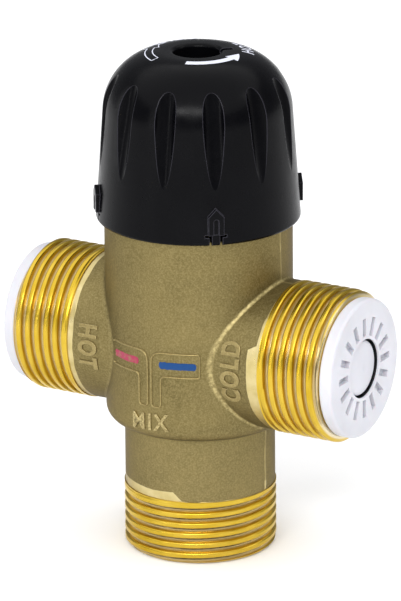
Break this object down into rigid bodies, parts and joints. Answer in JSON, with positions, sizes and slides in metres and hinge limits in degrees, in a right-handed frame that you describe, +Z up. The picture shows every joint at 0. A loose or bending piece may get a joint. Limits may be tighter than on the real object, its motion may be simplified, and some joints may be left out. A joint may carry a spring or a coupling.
{
  "type": "thermostatic mixing valve",
  "caption": "Brass thermostatic mixing valve with hot and cold inlets at the sides, mixed outlet below, check valves in the inlets and a fluted black adjusting cap.",
  "frame": {"origin": "centre of the outlet's end face, on which the valve stands", "axes": "+Z up the main axis to the cap, +X out of the cold inlet, -Y the side with the flow sign"},
  "size_m": [0.0818, 0.0442, 0.1114],
  "materials": {
    "forged_brass": "sand-blasted forging",
    "machined_brass": "turned, bright",
    "element_brass": "satin",
    "black_plastic": "satin",
    "grey_plastic": "moulded",
    "white_plastic": "moulded",
    "rubber": "plain",
    "steel": "drawn"
  },
  "bodies": {
    "valve": {"valve_body": "forged_brass", "bonnet": "machined_brass", "bonnet_seal": "rubber", "piston_seal": "rubber", "return_spring": "steel", "spring_seat": "steel", "seat_clip": "steel", "hot_check_housing": "white_plastic", "hot_check_guide": "white_plastic", "hot_check_spring": "steel", "hot_check_seal": "rubber", "cold_check_housing": "white_plastic", "cold_check_guide": "white_plastic", "cold_check_spring": "steel", "cold_check_seal": "rubber"},
    "dial": {"adjusting_cap": "black_plastic", "spindle": "machined_brass", "spindle_seals": "rubber", "spindle_clip": "steel"},
    "carriage": {"adjusting_nut": "machined_brass", "overload_spring": "steel", "overload_clip": "steel"},
    "plunger": {"overload_plunger": "grey_plastic", "element_pin": "steel"},
    "regulator": {"piston": "grey_plastic", "wax_element": "element_brass"},
    "hot_poppet": {"hot_check_poppet": "white_plastic", "hot_poppet_seal": "rubber"},
    "cold_poppet": {"cold_check_poppet": "white_plastic", "cold_poppet_seal": "rubber"}
  },
  "joints": [
    {"name": "dial_turn", "type": "hinge", "parent": "valve", "child": "dial", "pos_m": [0, 0, 0.095], "axis": [0, 0, 1], "range_deg": [-242, 242]},
    {"name": "nut_travel", "type": "slide", "parent": "valve", "child": "carriage", "axis": [0, 0, 1], "range_m": [-0.001, 0.001]},
    {"name": "piston_travel", "type": "slide", "parent": "carriage", "child": "regulator", "axis": [0, 0, 1], "range_m": [-0.0022, 0], "stiffness_N_per_m": 2000, "springref_m": 0.01, "deforming": ["return_spring"]},
    {"name": "overload_travel", "type": "slide", "parent": "carriage", "child": "plunger", "axis": [0, 0, 1], "range_m": [0, 0.0015], "stiffness_N_per_m": 8000, "springref_m": -0.01, "deforming": ["overload_spring"]},
    {"name": "hot_check_travel", "type": "slide", "parent": "valve", "child": "hot_poppet", "axis": [1, 0, 0], "range_m": [0, 0.003], "stiffness_N_per_m": 150, "springref_m": -0.004, "deforming": ["hot_check_spring"]},
    {"name": "cold_check_travel", "type": "slide", "parent": "valve", "child": "cold_poppet", "axis": [-1, 0, 0], "range_m": [0, 0.003], "stiffness_N_per_m": 150, "springref_m": -0.004, "deforming": ["cold_check_spring"]}
  ],
  "couplings": [
    {"joint": "dial_turn", "follows": "nut_travel", "rad_per_m": 4188.8}
  ]
}
